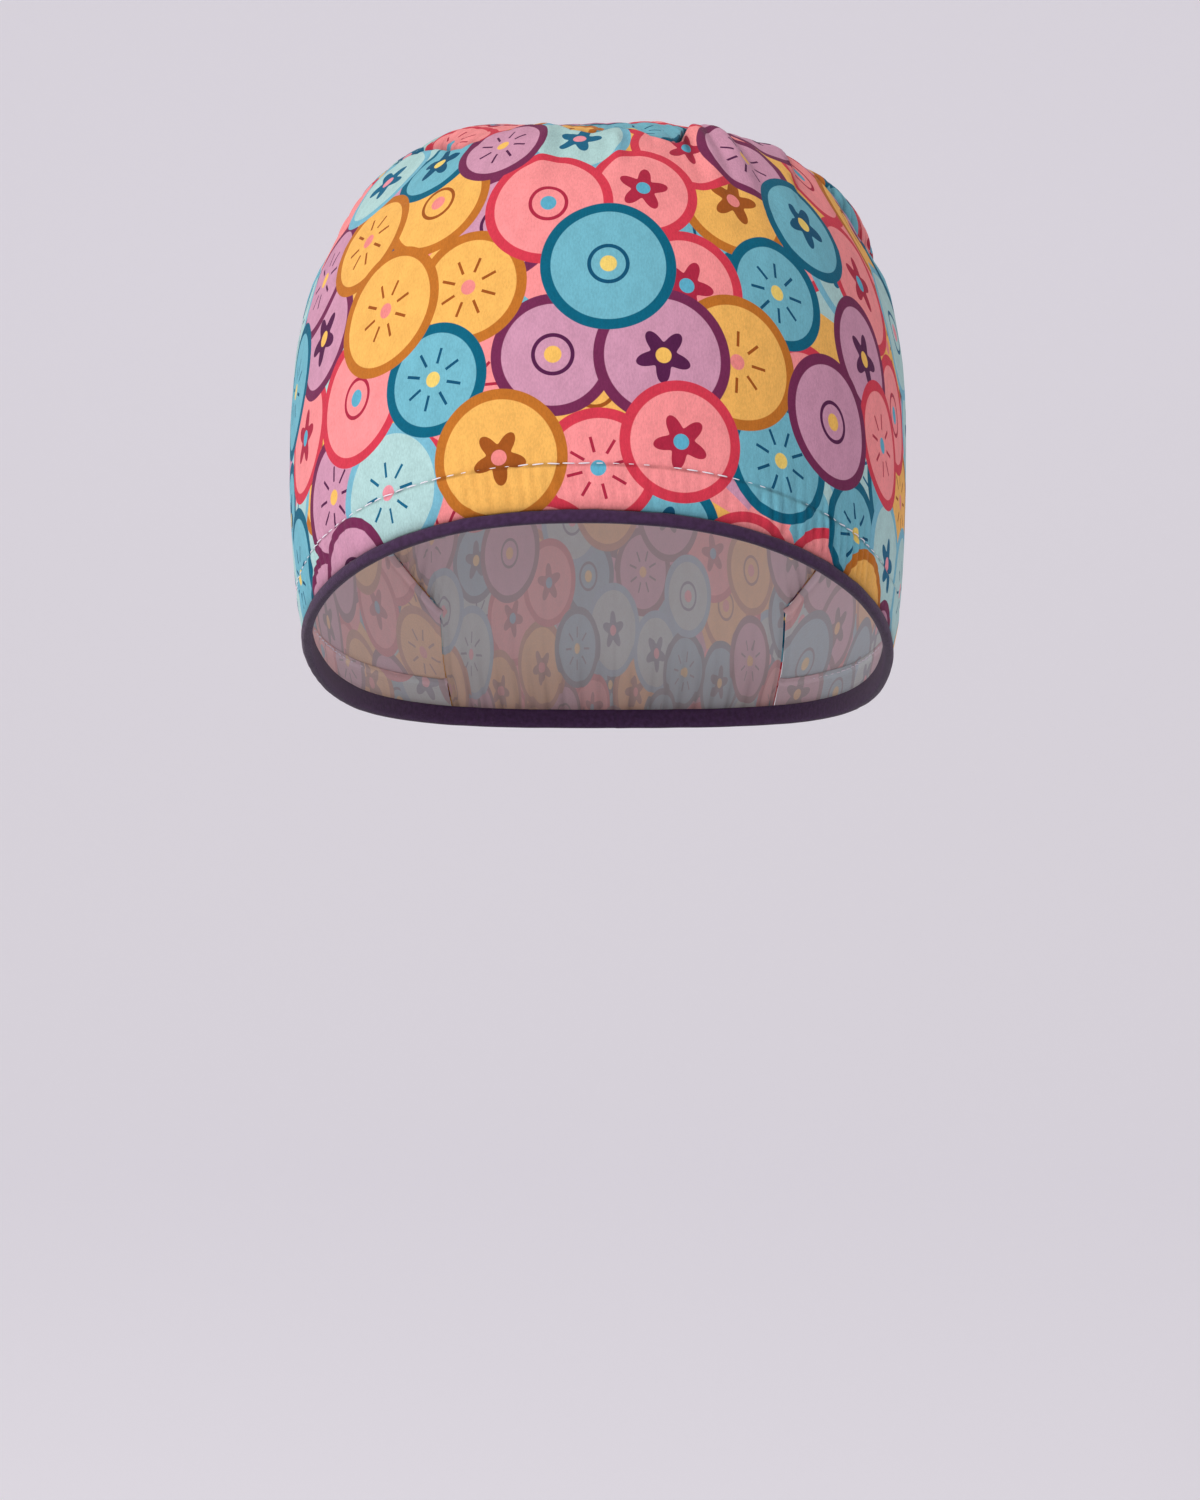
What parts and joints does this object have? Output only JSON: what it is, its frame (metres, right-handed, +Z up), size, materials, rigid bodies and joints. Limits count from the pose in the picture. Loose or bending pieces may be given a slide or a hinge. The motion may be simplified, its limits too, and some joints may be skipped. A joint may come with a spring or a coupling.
{
  "type": "scrub cap",
  "caption": "Soft cotton scrub cap in its worn shape: tall front panel, gathered crown and bound rim, open below for a head.",
  "frame": {"origin": "middle of the head opening, level with the rim over the ears", "axes": "+Z up towards the crown, -Y towards the forehead, +X towards the wearer's left ear"},
  "size_m": [0.1657, 0.2191, 0.159],
  "materials": {
    "printed_cotton": "matte plain weave cotton with a bright overlapping disc print",
    "binding_cotton": "matte dark purple bias binding"
  },
  "bodies": {
    "root": {"front_panel": "printed_cotton", "crown_panel": "printed_cotton", "edge_binding": "binding_cotton"}
  },
  "joints": []
}
